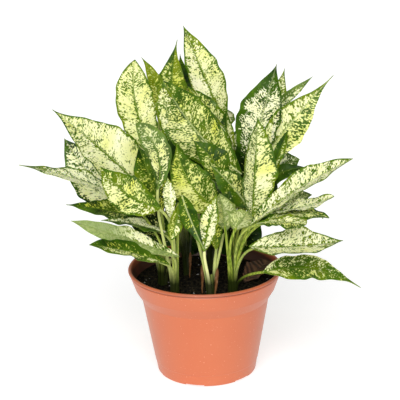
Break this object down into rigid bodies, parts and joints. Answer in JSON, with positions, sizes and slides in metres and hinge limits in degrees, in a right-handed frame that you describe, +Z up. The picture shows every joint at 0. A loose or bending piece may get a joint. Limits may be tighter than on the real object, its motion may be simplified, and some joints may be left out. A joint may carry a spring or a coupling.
{
  "type": "potted chinese evergreen plant",
  "caption": "Leafy aroid house plant with cream and green speckled leaves, growing in peat soil in a round tapered plastic nursery pot that stands on its flat foot.",
  "frame": {"origin": "middle of the pot's flat base, in the plane of the surface that it stands on", "axes": "+Z up along the pot's axis, -Y towards the front of the plant, +X to the right seen from the front"},
  "size_m": [0.3156, 0.2427, 0.3335],
  "materials": {
    "terracotta_plastic": "satin",
    "peat": "matte",
    "speckled_leaf": "satin",
    "dry_leaf": "matte"
  },
  "bodies": {
    "root": {"pot": "terracotta_plastic", "soil": "peat", "shoot_1": "speckled_leaf", "shoot_2": "speckled_leaf", "shoot_3": "speckled_leaf", "shoot_4": "speckled_leaf", "shoot_5": "speckled_leaf", "shoot_6": "speckled_leaf", "shoot_7": "speckled_leaf", "withered_leaf": "dry_leaf"}
  },
  "joints": []
}
